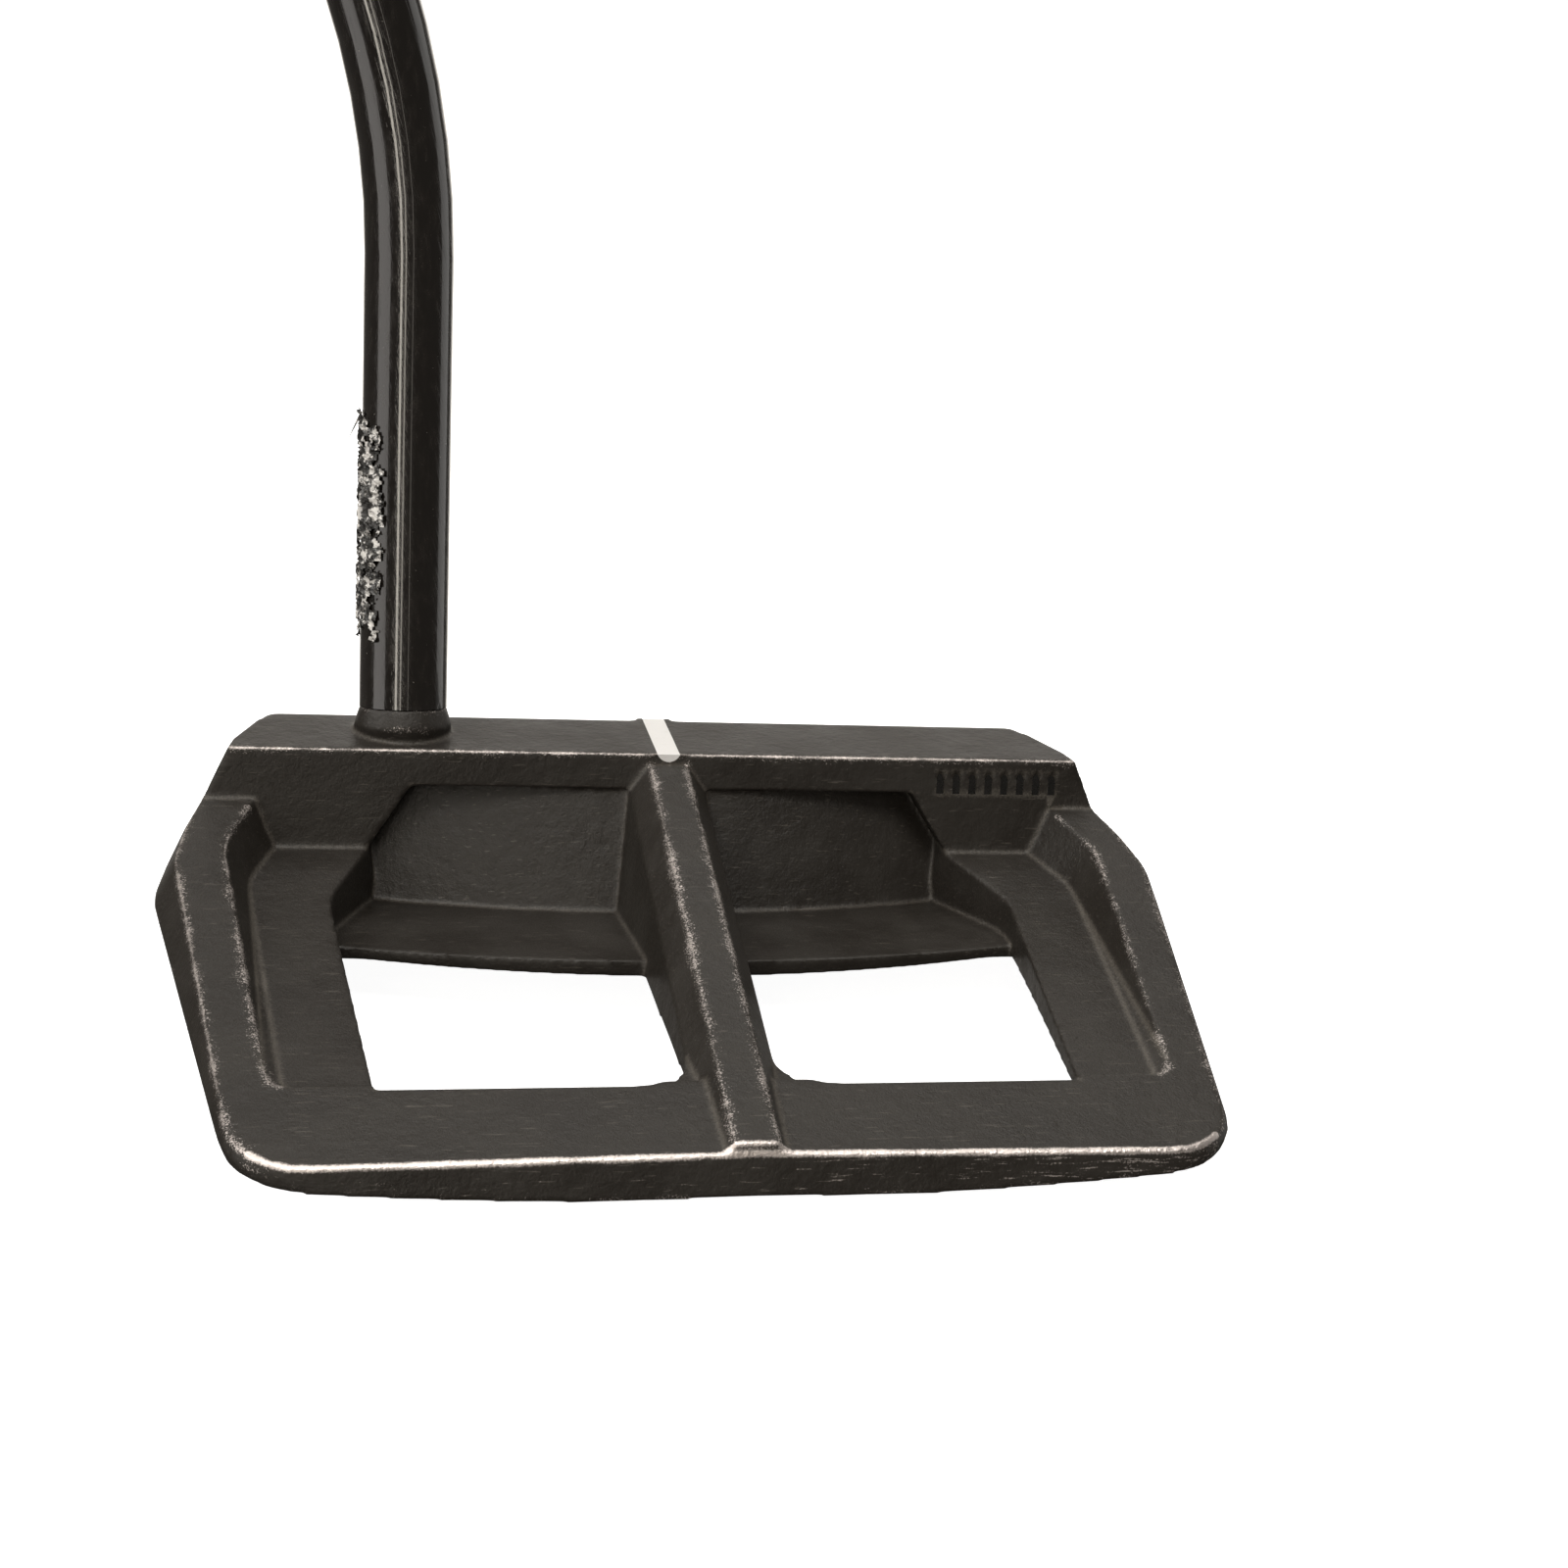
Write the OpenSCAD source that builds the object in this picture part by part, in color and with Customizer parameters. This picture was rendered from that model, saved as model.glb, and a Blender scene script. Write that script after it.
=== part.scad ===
// Mallet putter, right-handed, in address position.
// X runs from heel to toe, Y points at the target, Z is up.
// The origin lies on the flat of the sole, below the rear edge of the top line.

/* [Club] */
// Playing length, from the ground along the upper shaft to the butt
club_length = 864; // [835:1:900]
// Lie, the angle between the ground and the upper shaft
lie_angle = 70; // [68:0.5:73]
// Loft of the face
loft_angle = 3; // [1:0.5:5]

/* [Front bar] */
// Height of the top line above the ground
topline_h = 21.35; // [20.8:0.05:22.4]
// Width of the top line along its rear edge
topline_w = 92.4; // [89:0.2:95]
// Width of the top line along the face
topline_front_w = 84.4; // [80:0.2:87]
// Depth of the top line, rear edge to face
topline_d = 12; // [11.6:0.1:13]
// Width of the bar at its waist
bar_w = 100.4; // [98:0.2:103]
// Width of the bar at the ground
bar_sole_w = 95.6; // [92:0.2:98]
// Height of the waist of the bar
bar_waist_h = 11.6; // [10:0.2:13]
// Lean of the rear wall of the bar from upright
wall_lean = 8.65; // [6:0.05:11]

/* [Rear frame] */
// Reach of the rear edge behind the top line
rear_reach = 58.5; // [56:0.1:62]
// How much further back the rear corners are than the middle
rear_sweep = 0.8; // [0.2:0.1:1.5]
// Width across the rails at their shoulders
shoulder_w = 101.8; // [99:0.2:104]
// Distance of the shoulders behind the top line
shoulder_y = 11; // [9:0.5:13]
// Width across the rear corners
tail_w = 88; // [85:0.5:91]
// Radius of the rear corners
tail_r = 7; // [4:0.5:9]
// Plan radius where the rail starts behind the bar
neck_r = 8; // [6:0.5:9]
// Plan radius at the shoulder
shoulder_r = 12; // [9:0.5:13]
// Fall from the top line to the rails at the wall
rail_drop = 5.25; // [4.5:0.05:6]
// Slope of the rails and the rear flange
rail_slope = 10.2; // [9.4:0.1:10.8]
// Outward flare of the side walls at the shoulders
side_flare = 2.1; // [1:0.1:3]
// Outward flare of the side walls at the tail
tail_flare = 0.3; // [0:0.1:1]
// Outward flare of the rear wall, down to the ground
rear_flare = 2.1; // [1:0.1:3]
// Fall from the top line to the widest line of the side walls
waist_drop = 10.5; // [9.8:0.1:11.2]
// Slope of the widest line of the side walls
waist_slope = 6; // [5:0.1:7]
// Inward tuck of the side walls down to the ground
sole_tuck = 3; // [1:0.1:5]

/* [Channels] */
// Fall from the top line to the channel floor at the wall
floor_drop = 10.4; // [9.8:0.05:11]
// Slope of the channel floor
floor_slope = 4.83; // [4.2:0.01:5.2]
// Width across the foot of the channels at the shoulders
channel_w = 87.8; // [85:0.2:89]
// Width across the foot of the channels at the tail
channel_tail_w = 80.2; // [78:0.2:82]
// Reach of the channels behind the top line
channel_reach = 48.3; // [46.5:0.1:48.5]
// Sideways draft of the inner side of each rail
rail_draft = 2.4; // [1.5:0.1:3]
// Corner radius of the channels
channel_r = 12; // [8:0.5:13]
// Plan radius of the floor's inner rear corners
channel_tail_r = 1.5; // [1:0.1:2]

/* [Windows] */
// Width across the windows at their front corners
window_w = 71.6; // [68:0.2:73]
// Distance of the window's front corners behind the top line
window_front_y = 12.8; // [12:0.1:15]
// Plan radius of the windows' front corners
window_front_r = 10; // [6:0.5:12]
// Width across the windows at the tail
window_tail_w = 64.4; // [62:0.2:67]
// Distance of the rear edge of the windows behind the top line
window_reach = 48.9; // [48.7:0.1:50.5]
// Corner radius of the windows beside the rib
window_r = 5.5; // [1:0.1:6]

/* [Pockets and shelf] */
// Height of the lip over each pocket
pocket_lip_h = 17.5; // [17:0.1:18]
// Width across the pockets along the lip
pocket_lip_w = 54.6; // [52:0.2:57]
// Width across the pockets at the channel floor
pocket_w = 63.2; // [61:0.2:65]
// Depth of the pockets in front of the rear wall
pocket_depth = 6; // [5:0.1:6.5]
// Height of the crease where pocket and shelf meet
crease_h = 5.2; // [4.8:0.1:5.8]
// Distance of the crease behind the top line, at the middle
crease_y = 5.7; // [5:0.1:6.2]
// How far the pocket's opening is cut rearwards, through the bar's wall
pocket_run = 10; // [8:0.5:12]
// Lean of the pocket's back from upright
pocket_lean = 24; // [22.5:0.5:26]
// Radius of the pocket's bowed back
pocket_bow_r = 104; // [95:1:120]
// Distance of the shelf's rear edge behind the top line, at the middle
shelf_reach = 22.7; // [21:0.1:24]
// Radius of the shelf's bowed rear edge
shelf_bow_r = 122; // [100:1:140]
// Thickness of the shelf at its rear edge
shelf_t = 1.8; // [1.4:0.1:2.2]

/* [Rib] */
// Fall from the top line to the rib at the wall
rib_drop = 1.1; // [0.8:0.05:1.6]
// Slope of the rib
rib_slope = 13.3; // [13:0.1:13.8]
// Width of the flat on the rib
rib_flat_w = 4; // [3:0.1:5]
// Width of each sloped side of the rib
rib_side_w = 2.1; // [1.8:0.1:3]
// Height of each sloped side of the rib
rib_side_h = 2.7; // [2:0.1:3.4]
// Width of the rib at its foot, below the wall
rib_foot_w = 11; // [10:0.1:12]
// Distance from the rib's end to the rear edge
rib_notch = 0.2; // [0.1:0.1:2.5]

/* [Sole] */
// Height of the hollow's ceiling above the ground
hollow_h = 5.5; // [5:0.1:5.7]
// Distance of the sole pad's rear edge behind the top line
pad_reach = 3; // [2:0.5:5]
// Distance behind the top line at which the hollow is at its full height
hollow_front_y = 18; // [16:0.5:19]
// Thickness of the rear skirt
rear_skirt_t = 4; // [3:0.1:6]
// Thickness of the side skirts
side_skirt_t = 4; // [3:0.1:6]
// Rise of the rear skirt above the ground
rear_rise = 1.8; // [1:0.1:2.4]
// Radius of the sole from heel to toe
sole_r = 440; // [340:5:600]
// Width of the flat along the middle of the sole
sole_flat_w = 32; // [20:1:40]

/* [Face] */
// Thickness of the face cap
cap_t = 3; // [2:0.1:3.4]
// Thickness of the soft layer behind the cap
backing_t = 1.5; // [1:0.1:2]
// Width of the face cap at its waist
cap_w = 83; // [78:0.5:85]
// Width of the face cap along its top
cap_top_w = 77; // [72:0.5:79]
// Width of the face cap along its bottom
cap_bottom_w = 79; // [74:0.5:81]
// Metal left above the face cap
cap_top_margin = 2.1; // [1.6:0.1:3]
// Metal left below the face cap
cap_bottom_margin = 2.6; // [2:0.1:4]
// Corner radius of the face cap
cap_r = 3; // [1:0.1:4]
// Gap around the face cap
cap_gap = 0.1; // [0.05:0.05:0.3]

/* [Sight line and marks] */
// Width of the sight line
sight_w = 2.5; // [1.5:0.1:3.5]
// Depth of the sight line's groove
sight_depth = 0.85; // [0.5:0.05:1]
// Distance of the paint below the top line
paint_recess = 0.05; // [0.02:0.01:0.2]
// Number of plain bars in the mark
mark_count = 8; // [2:1:10]
// Width of each bar
mark_bar_w = 0.9; // [0.5:0.1:1.2]
// Height of each bar
mark_bar_h = 2.6; // [1.5:0.1:2.8]
// Pitch of the bars
mark_pitch = 1.85; // [1.5:0.05:1.9]
// Depth of the bars
mark_depth = 0.5; // [0.3:0.05:0.8]
// Thickness of the paint in the bars
mark_paint_t = 0.2; // [0.1:0.05:0.25]
// Distance of the first bar from the middle
mark_x = 30.6; // [29:0.1:31]
// Distance of the bars below the top line, along the wall
mark_drop = 2.7; // [2.4:0.1:3]

/* [Hosel] */
// Distance of the hosel from the middle, towards the heel
hosel_x = 28.05; // [24:0.05:32]
// Distance of the hosel in front of the top line's rear edge
hosel_y = 6; // [5.9:0.05:6.1]
// Forward lean of the lower shaft
forward_lean = 12; // [10:0.5:13]
// Lean of the lower shaft towards the heel
heel_lean = 0.44; // [0:0.01:2]
// Height of the collar along the shaft
collar_h = 2.75; // [2.2:0.05:4]
// Radius of the collar at its widest edge
collar_r = 5.2; // [5:0.05:5.4]
// Height of the collar's widest edge along the shaft
collar_edge_h = 0.7; // [0.4:0.05:1]
// Radius of the bead around the collar's foot
bead_r = 5.2; // [4.9:0.05:5.3]
// Diameter of the peg inside the shaft
peg_d = 7.9; // [7:0.1:7.9]
// Length of the peg above the collar
peg_l = 26; // [18:1:30]

/* [Shaft] */
// Diameter of the shaft at its tip
tip_d = 9.3; // [9.3:0.1:9.8]
// Wall of the shaft
shaft_wall = 0.6; // [0.5:0.05:0.65]
// Length of the straight lower shaft, from the top line
lower_l = 50; // [45:1:60]
// Radius of the bend, at the middle of the shaft
bend_r = 70; // [55:1:90]
// Length of straight tip above the bend
tip_l = 150; // [100:1:170]
// Number of steps up to the butt
step_count = 12; // [6:1:12]
// Length of each step
step_l = 25; // [18:1:27]
// Diameter of the shaft at its butt
butt_d = 14.7; // [14:0.1:15.2]
// Thickness of the label film left on the shaft
label_t = 0.12; // [0.08:0.01:0.2]
// Length of the label film
label_l = 25; // [15:0.5:26]
// Distance of the label film above the collar
label_up = 6.4; // [4:0.1:10]
// Angle that the label film covers
label_angle = 84; // [30:1:90]

/* [Grip] */
// Length of the grip
grip_l = 267; // [240:1:275]
// Width of the grip at the butt
grip_butt_w = 29; // [26:0.5:32]
// Width of the grip at mid-length
grip_mid_w = 25.5; // [23:0.5:27]
// Width of the grip at its mouth
grip_mouth_w = 21; // [19.5:0.5:22]
// Distance of the flat front from the shaft's middle, at the butt
grip_flat = 12; // [11.2:0.1:13]
// Thickness of the grip's skin
skin_t = 1.6; // [1:0.1:1.8]
// Thickness of the double-sided tape
tape_t = 0.2; // [0.1:0.05:0.3]
// Length of the ring at the mouth of the grip
ring_l = 6; // [4:0.5:10]
// Thickness of the cap's flange
cap_flange_t = 3.5; // [2.5:0.1:5]
// Length of the cap's plug inside the shaft
plug_l = 14; // [8:0.5:20]
// Diameter of the vent hole in the cap
vent_d = 2.6; // [1.5:0.1:4]
// Gap around the cap's plug
plug_gap = 0.1; // [0.05:0.05:0.3]

/* [Hidden] */
$fn = 64;

eps = 0.01;         // thickness of the slabs that a hull spans
past = 2;           // how far a cutter runs past what it cuts
far = 200;          // size of a half-space block
paint_gap = 0.005;  // keeps paint and tape off the faces around them

rail_k = tan(rail_slope);
floor_k = tan(floor_slope);
rail_h = topline_h - rail_drop;
waist_h = topline_h - waist_drop;
floor_h = topline_h - floor_drop;
rib_h = topline_h - rib_drop;
rib_inside = rib_flat_w / 2 + rib_side_w - 0.1;
relief = atan(rear_rise / (rear_reach - pad_reach));
recess_d = cap_t + backing_t;
sight_r = (pow(sight_w / 2, 2) + pow(sight_depth, 2)) / (2 * sight_depth);

// ---- outlines -------------------------------------------------------------

// The arc that rounds corner p between its neighbours a and b with radius r
function corner(a, p, b, r, n = 6) =
    let (u = (a - p) / norm(a - p), v = (b - p) / norm(b - p),
         half = acos(u * v) / 2,
         c = p + (u + v) / norm(u + v) * r / sin(half),
         s = p + u * r / tan(half) - c, e = p + v * r / tan(half) - c,
         a0 = atan2(s.y, s.x), turn = atan2(s.x * e.y - s.y * e.x, s * e))
    [for (i = [0:n]) c + r * [cos(a0 + turn * i / n), sin(a0 + turn * i / n)]];

// A closed outline from points [x, y, radius]; radius 0 leaves the corner sharp
function rounded(p) =
    [for (i = [0:len(p) - 1])
        let (a = p[(i + len(p) - 1) % len(p)], q = p[i], b = p[(i + 1) % len(p)])
        each q[2] > 0 ? corner([a.x, a.y], [q.x, q.y], [b.x, b.y], q[2]) : [[q.x, q.y]]];

// A right half, given from front to rear, joined to its mirror image
function both_sides(half) =
    concat(half, [for (i = [len(half) - 1:-1:0]) [-half[i].x, half[i].y, half[i][2]]]);

// Right half of the plan of the rails and flange, moved out by side, tail and rear
function frame_half(side, tail, rear) = [
    [shoulder_w / 2 - 3 + side, past, 0],
    [shoulder_w / 2 - 0.9 + side, -shoulder_y * 0.55, neck_r],
    [shoulder_w / 2 + side, -shoulder_y - 1.5, shoulder_r],
    [tail_w / 2 + tail, -rear_reach - rear_sweep - rear, tail_r + rear],
    [1, -rear_reach - rear, 0]];

function frame_plan(side, tail, rear) = rounded(both_sides(frame_half(side, tail, rear)));

// The right half, run on past the middle
function half_plan(side, tail, rear) = rounded(concat(
    [[-1, past, 0]], frame_half(side, tail, rear), [[-1, -rear_reach - rear, 0]]));

function channel_plan(side) = rounded(both_sides([
    [channel_w / 2 - 3.8 + side, past, 0],
    [channel_w / 2 + side, -shoulder_y + 1.5, channel_r],
    [channel_tail_w / 2 + side * 0.6, -channel_reach, channel_tail_r]]));

// Plan of the window and the well in front of it, on the toe side
function window_plan(inset) = rounded([
    [pocket_w / 2 - 1.2 - inset, past, 0],
    [window_w / 2 - inset, -window_front_y, window_front_r + 4 * inset],
    [window_tail_w / 2, -window_reach, 0],
    [rib_inside, -window_reach, window_r],
    [rib_inside, past, 0]]);

// ---- transforms -----------------------------------------------------------

// Tips a level slab to slope k while its plan stays as it is
module tip(k) multmatrix([[1, 0, 0, 0], [0, 1, 0, 0], [0, k, 1, 0]]) children();

// A thin slab of a plan, at height h
module slab(plan, h) translate([0, 0, h]) linear_extrude(eps) polygon(plan);

// The rear wall: local Y runs into the bar and local Z up the wall
module at_wall() translate([0, 0, topline_h]) rotate([-wall_lean, 0, 0]) children();

// The face: local Y is its normal and local Z runs up from the ground
module at_face()
    translate([0, topline_d, topline_h]) rotate([loft_angle, 0, 0])
        translate([0, 0, -topline_h / cos(loft_angle)]) children();

module mirrored_too() {
    children();
    mirror([1, 0, 0]) children();
}

// ---- head body ------------------------------------------------------------

module before_wall() at_wall() translate([-far / 2, 0, -far / 2]) cube(far);

module beyond_face() at_face() translate([-far / 2, 0, -far / 2]) cube(far);

module bar() {
    top = both_sides([[topline_w / 2 + 0.3, -past, 0],
                      [topline_w / 2 - 0.6, 3, 0],
                      [topline_front_w / 2, topline_d, 1.2]]);
    waist = both_sides([[bar_w / 2 + 0.4, -past, 0],
                        [bar_w / 2 - 0.8, 6, 5],
                        [bar_w / 2 - 4.5, topline_d + past, 2]]);
    foot = both_sides([[bar_sole_w / 2, -past, 0],
                       [bar_sole_w / 2 - 3, topline_d + past, 5]]);
    intersection() {
        hull() {
            slab(rounded(top), topline_h - eps);
            slab(rounded(waist), bar_waist_h);
            slab(rounded(foot), -past);
        }
        before_wall();
    }
}

// Each half is a hull of its own, because the rear edge is drawn in at the middle
module frame() mirrored_too() hull() {
    tip(rail_k) slab(half_plan(0, 0, 0), rail_h - eps);
    tip(tan(waist_slope)) slab(half_plan(side_flare, tail_flare, 0.2), waist_h);
    slab(half_plan(side_flare - sole_tuck, tail_flare - sole_tuck, rear_flare), -past);
}

// Everything in front of the bowed back of the pockets
module pocket_back()
    translate([0, -crease_y, crease_h]) rotate([-pocket_lean, 0, 0])
        translate([0, pocket_bow_r, -far / 2])
            cylinder(h = far, r = pocket_bow_r, $fn = 200);

// Everything in front of the shelf's bowed rear edge and below its top
module shelf_block() {
    rise = atan((hollow_h + shelf_t - crease_h) / (shelf_reach - crease_y));
    intersection() {
        translate([0, shelf_bow_r - shelf_reach, -far / 2])
            cylinder(h = far, r = shelf_bow_r, $fn = 200);
        translate([0, -crease_y, crease_h]) rotate([-rise, 0, 0])
            translate([-far / 2, -far / 2, -far]) cube(far);
    }
}

module channel_cut() {
    difference() {
        hull() {
            tip(rail_k) slab(channel_plan(rail_draft), rail_h + 0.1);
            tip(floor_k) slab(channel_plan(0), floor_h);
        }
        before_wall();
        intersection() {
            pocket_back();
            translate([-far / 2, -far / 2, pocket_lip_h - far]) cube(far);
        }
    }
}

// The pocket, the well and the window of the toe side
module window_cut() {
    lip = [[0, pocket_lip_h], [pocket_lip_w / 2, pocket_lip_h],
           [pocket_w / 2, floor_h], [pocket_w / 2 - 1.2, crease_h - past], [0, crease_h - past]];
    difference() {
        union() {
            translate([0, pocket_depth, 0]) rotate([90, 0, 0])
                linear_extrude(pocket_depth + pocket_run) polygon(lip);
            hull() {
                slab(window_plan(0), floor_h);
                slab(window_plan(0.5), crease_h);
                slab(window_plan(0.5), -past);
            }
        }
        pocket_back();
        shelf_block();
    }
}

module rib() {
    run = rear_reach - rib_notch + past;
    section = both_sides([[rib_flat_w / 2, 0, 0],
                          [rib_flat_w / 2 + rib_side_w, -rib_side_h, 0],
                          [rib_foot_w / 2, hollow_h - rib_h, 0]]);
    intersection() {
        translate([0, 0, rib_h]) rotate([rib_slope, 0, 0]) translate([0, far / 4, 0])
            rotate([90, 0, 0]) linear_extrude(far) polygon(rounded(section));
        translate([-far / 2, past - run, hollow_h / 2]) cube([far, run, far]);
    }
}

module sole_hollow() {
    side = [[-pad_reach, 0], [-pad_reach, -past], [-far, -past], [-far, hollow_h],
            [-hollow_front_y, hollow_h]];
    intersection() {
        rotate([90, 0, 90]) translate([0, 0, -far / 2]) linear_extrude(far) polygon(side);
        translate([0, 0, -past]) linear_extrude(topline_h)
            polygon(frame_plan(-side_skirt_t, -side_skirt_t, -rear_skirt_t));
    }
}

module below_sole() translate([0, -pad_reach, 0]) {
    translate([-far / 2, -far / 2, -far]) cube(far);
    rotate([-relief, 0, 0]) translate([-far / 2, -far / 2, -far]) cube(far);
}

// Heel-to-toe camber that leaves a flat along the middle of the sole
module sole_camber() {
    sink = sole_r - sqrt(pow(sole_r, 2) - pow(sole_flat_w / 2, 2));
    translate([0, -pad_reach, 0]) intersection_for (lift = [0, relief])
        rotate([-lift, 0, 0]) translate([0, far / 2, sole_r - sink]) rotate([90, 0, 0])
            cylinder(h = far, r = sole_r, $fn = 240);
}

module face_recess() {
    at_face() rotate([90, 0, 0]) translate([0, 0, -past])
        linear_extrude(recess_d + past) polygon(cap_outline(cap_gap));
}

module sight_groove()
    translate([0, -past, topline_h - sight_depth + sight_r]) rotate([-90, 0, 0])
        cylinder(h = topline_d + 2 * past, r = sight_r);

module mark_bars(depth_from, depth_to, side_off) {
    at_wall() for (i = [0:mark_count - 1])
        translate([mark_x + i * mark_pitch - mark_bar_w / 2 + side_off, depth_from,
                   -mark_drop - mark_bar_h / 2 + side_off])
            cube([mark_bar_w - 2 * side_off, depth_to - depth_from, mark_bar_h - 2 * side_off]);
}

module collar() {
    on_lower_shaft(0) rotate_extrude() polygon([
        [0, -1.5], [collar_r - 1.2, -1.5], [collar_r, collar_edge_h],
        [tip_d / 2 - 0.05, collar_h], [peg_d / 2, collar_h], [peg_d / 2, collar_h + peg_l - 1],
        [peg_d / 2 - 0.7, collar_h + peg_l], [0, collar_h + peg_l]]);
    translate([-hosel_x, hosel_y + 0.65, topline_h - eps])
        cylinder(h = 0.6, r1 = bead_r, r2 = bead_r - 0.6);
}

module head_body() {
    color([0.24, 0.22, 0.20]) {
        difference() {
            intersection() {
                union() {
                    difference() {
                        union() {
                            bar();
                            frame();
                        }
                        channel_cut();
                        mirrored_too() window_cut();
                    }
                    rib();
                }
                sole_camber();
            }
            sole_hollow();
            below_sole();
            beyond_face();
            face_recess();
            sight_groove();
            mark_bars(-past, mark_depth, 0);
        }
        collar();
    }
}

// ---- face -----------------------------------------------------------------

// Outline of the face cap in the face's own X and Z, grown by gap
function cap_outline(gap) =
    let (low = cap_bottom_margin / cos(loft_angle) - gap,
         top = topline_h / cos(loft_angle) - cap_top_margin + gap,
         waist = bar_waist_h)
    rounded(both_sides([[cap_bottom_w / 2 + gap, low, cap_r],
                        [cap_w / 2 + gap, waist, cap_r],
                        [cap_top_w / 2 + gap, top, cap_r]]));

module face_plate(depth_from, depth_to)
    at_face() translate([0, -depth_from, 0]) rotate([90, 0, 0])
        linear_extrude(depth_to - depth_from) polygon(cap_outline(0));

module face_cap() color([0.55, 0.40, 0.30]) face_plate(0, cap_t);

module face_backing() color([0.12, 0.12, 0.13]) face_plate(cap_t, recess_d);

// ---- paint ----------------------------------------------------------------

module sight_line_paint() {
    color([0.93, 0.93, 0.91]) difference() {
        intersection() {
            sight_groove();
            before_wall();
            translate([-far / 2, -far / 2, topline_h - paint_recess - far]) cube(far);
        }
        beyond_face();
    }
}

module mark_paint() color([0.03, 0.03, 0.03])
    mark_bars(mark_depth - mark_paint_t, mark_depth, paint_gap);

// ---- shaft ----------------------------------------------------------------

tilt = 90 - lie_angle;
bore_tip_d = tip_d - 2 * shaft_wall;
bore_butt_d = butt_d - 2 * shaft_wall;
taped_d = butt_d + 2 * tape_t;
foot_point = [-hosel_x, hosel_y, topline_h];
lower_dir = [-cos(forward_lean) * sin(heel_lean), sin(forward_lean),
             cos(forward_lean) * cos(heel_lean)];
upper_dir = [-sin(tilt), 0, cos(tilt)];
bend_angle = acos(lower_dir * upper_dir);
bend_turn = atan2(-cos(tilt - heel_lean) * sin(forward_lean), -sin(tilt - heel_lean));
bend_side = (upper_dir - (lower_dir * upper_dir) * lower_dir) / sin(bend_angle);
bend_start = foot_point + lower_l * lower_dir;
bend_end = bend_start + bend_r * (sin(bend_angle) * lower_dir
                                  + (1 - cos(bend_angle)) * bend_side);
// Where the upper shaft's middle line would meet the ground, and the butt
ground_run = bend_end.z / upper_dir.z;
upper_l = club_length - ground_run - cap_flange_t;

// Local Z runs up the lower shaft, from distance s above the top line
module on_lower_shaft(s)
    translate(foot_point + s * lower_dir)
        rotate([0, -heel_lean, 0]) rotate([-forward_lean, 0, 0]) children();

// Local Z runs up the upper shaft, from distance s above the bend;
// local X points away from the player
module on_upper_shaft(s)
    translate(bend_end + s * upper_dir) rotate([0, -tilt, 0]) children();

module tube_section(thin) difference() {
    circle(d = tip_d - thin);
    circle(d = bore_tip_d + thin);
}

// The bend's wall is a hair thinner, so that it meets both straight tubes cleanly
module bend()
    on_lower_shaft(lower_l) rotate([0, 0, bend_turn]) translate([bend_r, 0, 0])
        rotate([90, 0, 180]) rotate_extrude(angle = bend_angle)
            translate([bend_r, 0]) tube_section(2 * eps);

// Radius profile of the stepped upper shaft, thinner all over by inset
function step_profile(inset) =
    let (rise = (butt_d - tip_d) / 2 / step_count, ramp = 1)
    concat([[tip_d / 2 - inset, 0]],
           [for (i = [0:step_count - 1]) each
               [[tip_d / 2 - inset + i * rise, tip_l + i * step_l],
                [tip_d / 2 - inset + (i + 1) * rise, tip_l + i * step_l + ramp]]],
           [[butt_d / 2 - inset, upper_l]]);

module shaft() {
    outer = step_profile(0);
    inner = step_profile(shaft_wall);
    color([0.05, 0.05, 0.05]) {
        on_lower_shaft(collar_h) linear_extrude(lower_l - collar_h) tube_section(0);
        bend();
        on_upper_shaft(0) rotate_extrude()
            polygon(concat(outer, [for (i = [len(inner) - 1:-1:0]) inner[i]]));
    }
}

module hosel_epoxy() {
    color([0.75, 0.72, 0.60]) on_lower_shaft(collar_h) difference() {
        cylinder(h = peg_l - 2, d = bore_tip_d);
        translate([0, 0, -past]) cylinder(h = peg_l + 2 * past, d = peg_d);
    }
}

module shaft_label_film() {
    r = tip_d / 2;
    color([0.75, 0.75, 0.73]) on_lower_shaft(collar_h + label_up)
        rotate([0, 0, 198 - label_angle / 2]) rotate_extrude(angle = label_angle)
            translate([r, 0]) square([label_t, label_l]);
}

// ---- grip -----------------------------------------------------------------

// Everything beyond the flat front of the grip, which faces local X
module beyond_flat(inset)
    translate([grip_flat - inset, -far, -2 * far]) cube([far, 2 * far, 3 * far]);

// The grip's outer form, thinner all over by inset and longer at both ends by over;
// local Z = 0 is the butt
module grip_form(inset, over) {
    half = [for (w = [grip_butt_w, grip_mid_w, grip_mouth_w]) w / 2 - inset];
    difference() {
        rotate_extrude() polygon([
            [0, over], [half[0], over], [half[0], -grip_l * 0.22],
            [half[1], -grip_l * 0.6], [half[2], -grip_l], [half[2], -grip_l - over],
            [0, -grip_l - over]]);
        beyond_flat(inset);
    }
}

module mouth_zone()
    translate([0, 0, -grip_l - past]) cylinder(h = past + ring_l, r = grip_butt_w);

module butt_hole(d, length)
    translate([0, 0, -length - past]) cylinder(h = length + 2 * past, d = d);

module grip_tape() {
    color([0.85, 0.82, 0.72]) on_upper_shaft(upper_l) difference() {
        translate([0, 0, -grip_l]) cylinder(h = grip_l, d = taped_d);
        butt_hole(butt_d, grip_l);
    }
}

module grip_core() {
    color([0.20, 0.20, 0.22]) on_upper_shaft(upper_l) difference() {
        grip_form(skin_t, 0);
        butt_hole(taped_d, grip_l);
        mouth_zone();
    }
}

module grip_skin() {
    color([0.08, 0.08, 0.09]) on_upper_shaft(upper_l) difference() {
        grip_form(0, 0);
        grip_form(skin_t, past);
        mouth_zone();
    }
}

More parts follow.
